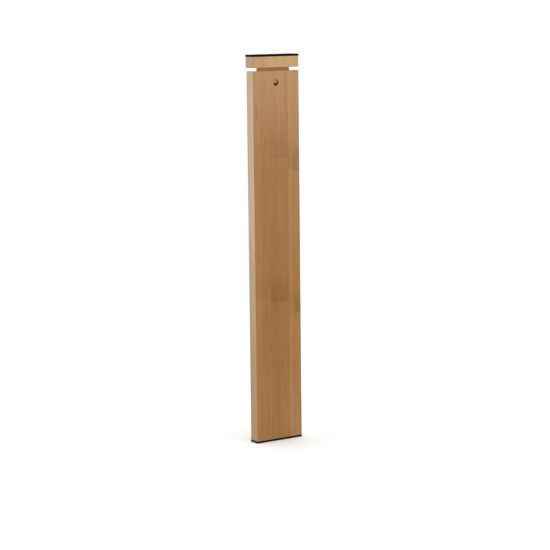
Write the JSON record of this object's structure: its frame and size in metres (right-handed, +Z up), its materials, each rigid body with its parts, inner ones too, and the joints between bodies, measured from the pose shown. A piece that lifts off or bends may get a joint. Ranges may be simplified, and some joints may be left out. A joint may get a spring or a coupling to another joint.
{
  "type": "extending magnetic knife rack",
  "caption": "Slim bamboo magnetic knife rack: a hollow sleeve with magnets behind its face and a magnetic tongue with a full-size head that slides out to lengthen it.",
  "frame": {"origin": "middle of the rack's lower end, at the foot of the lower end plate", "axes": "+Z up the rack's length towards the head, +X across its width, the magnetic face looks along -Y and the wall side along +Y"},
  "size_m": [0.06, 0.015, 0.43],
  "materials": {
    "bamboo": "satin lacquer",
    "black_plate": "matte black",
    "black_screw": "black oxide",
    "bronzed_screw": "antique bronze",
    "zinc_steel": "zinc plated",
    "magnet_nickel": "nickel plated"
  },
  "bodies": {
    "sleeve": {"front_board": "bamboo", "back_board": "bamboo", "left_rail": "bamboo", "right_rail": "bamboo", "core_strip": "bamboo", "lower_end_plate": "black_plate", "lower_end_plate_screws": "black_screw", "stop_screw": "bronzed_screw", "lower_hanger_plate": "zinc_steel", "upper_hanger_plate": "zinc_steel", "hanger_screws": "zinc_steel", "sleeve_magnet_left_01": "magnet_nickel", "sleeve_magnet_left_02": "magnet_nickel", "sleeve_magnet_left_03": "magnet_nickel", "sleeve_magnet_left_04": "magnet_nickel", "sleeve_magnet_left_05": "magnet_nickel", "sleeve_magnet_left_06": "magnet_nickel", "sleeve_magnet_left_07": "magnet_nickel", "sleeve_magnet_left_08": "magnet_nickel", "sleeve_magnet_left_09": "magnet_nickel", "sleeve_magnet_left_10": "magnet_nickel", "sleeve_magnet_left_11": "magnet_nickel", "sleeve_magnet_left_12": "magnet_nickel", "sleeve_magnet_right_01": "magnet_nickel", "sleeve_magnet_right_02": "magnet_nickel", "sleeve_magnet_right_03": "magnet_nickel", "sleeve_magnet_right_04": "magnet_nickel", "sleeve_magnet_right_05": "magnet_nickel", "sleeve_magnet_right_06": "magnet_nickel", "sleeve_magnet_right_07": "magnet_nickel", "sleeve_magnet_right_08": "magnet_nickel", "sleeve_magnet_right_09": "magnet_nickel", "sleeve_magnet_right_10": "magnet_nickel", "sleeve_magnet_right_11": "magnet_nickel", "sleeve_magnet_right_12": "magnet_nickel"},
    "slider": {"tongue": "bamboo", "head_block": "bamboo", "upper_end_plate": "black_plate", "upper_end_plate_screws": "black_screw", "slider_magnet_left_1": "magnet_nickel", "slider_magnet_left_2": "magnet_nickel", "slider_magnet_left_3": "magnet_nickel", "slider_magnet_left_4": "magnet_nickel", "slider_magnet_left_5": "magnet_nickel", "slider_magnet_right_1": "magnet_nickel", "slider_magnet_right_2": "magnet_nickel", "slider_magnet_right_3": "magnet_nickel", "slider_magnet_right_4": "magnet_nickel", "slider_magnet_right_5": "magnet_nickel"}
  },
  "joints": [
    {"name": "slider_draw", "type": "slide", "parent": "sleeve", "child": "slider", "axis": [0, 0, 1], "range_m": [0, 0.1288]}
  ]
}
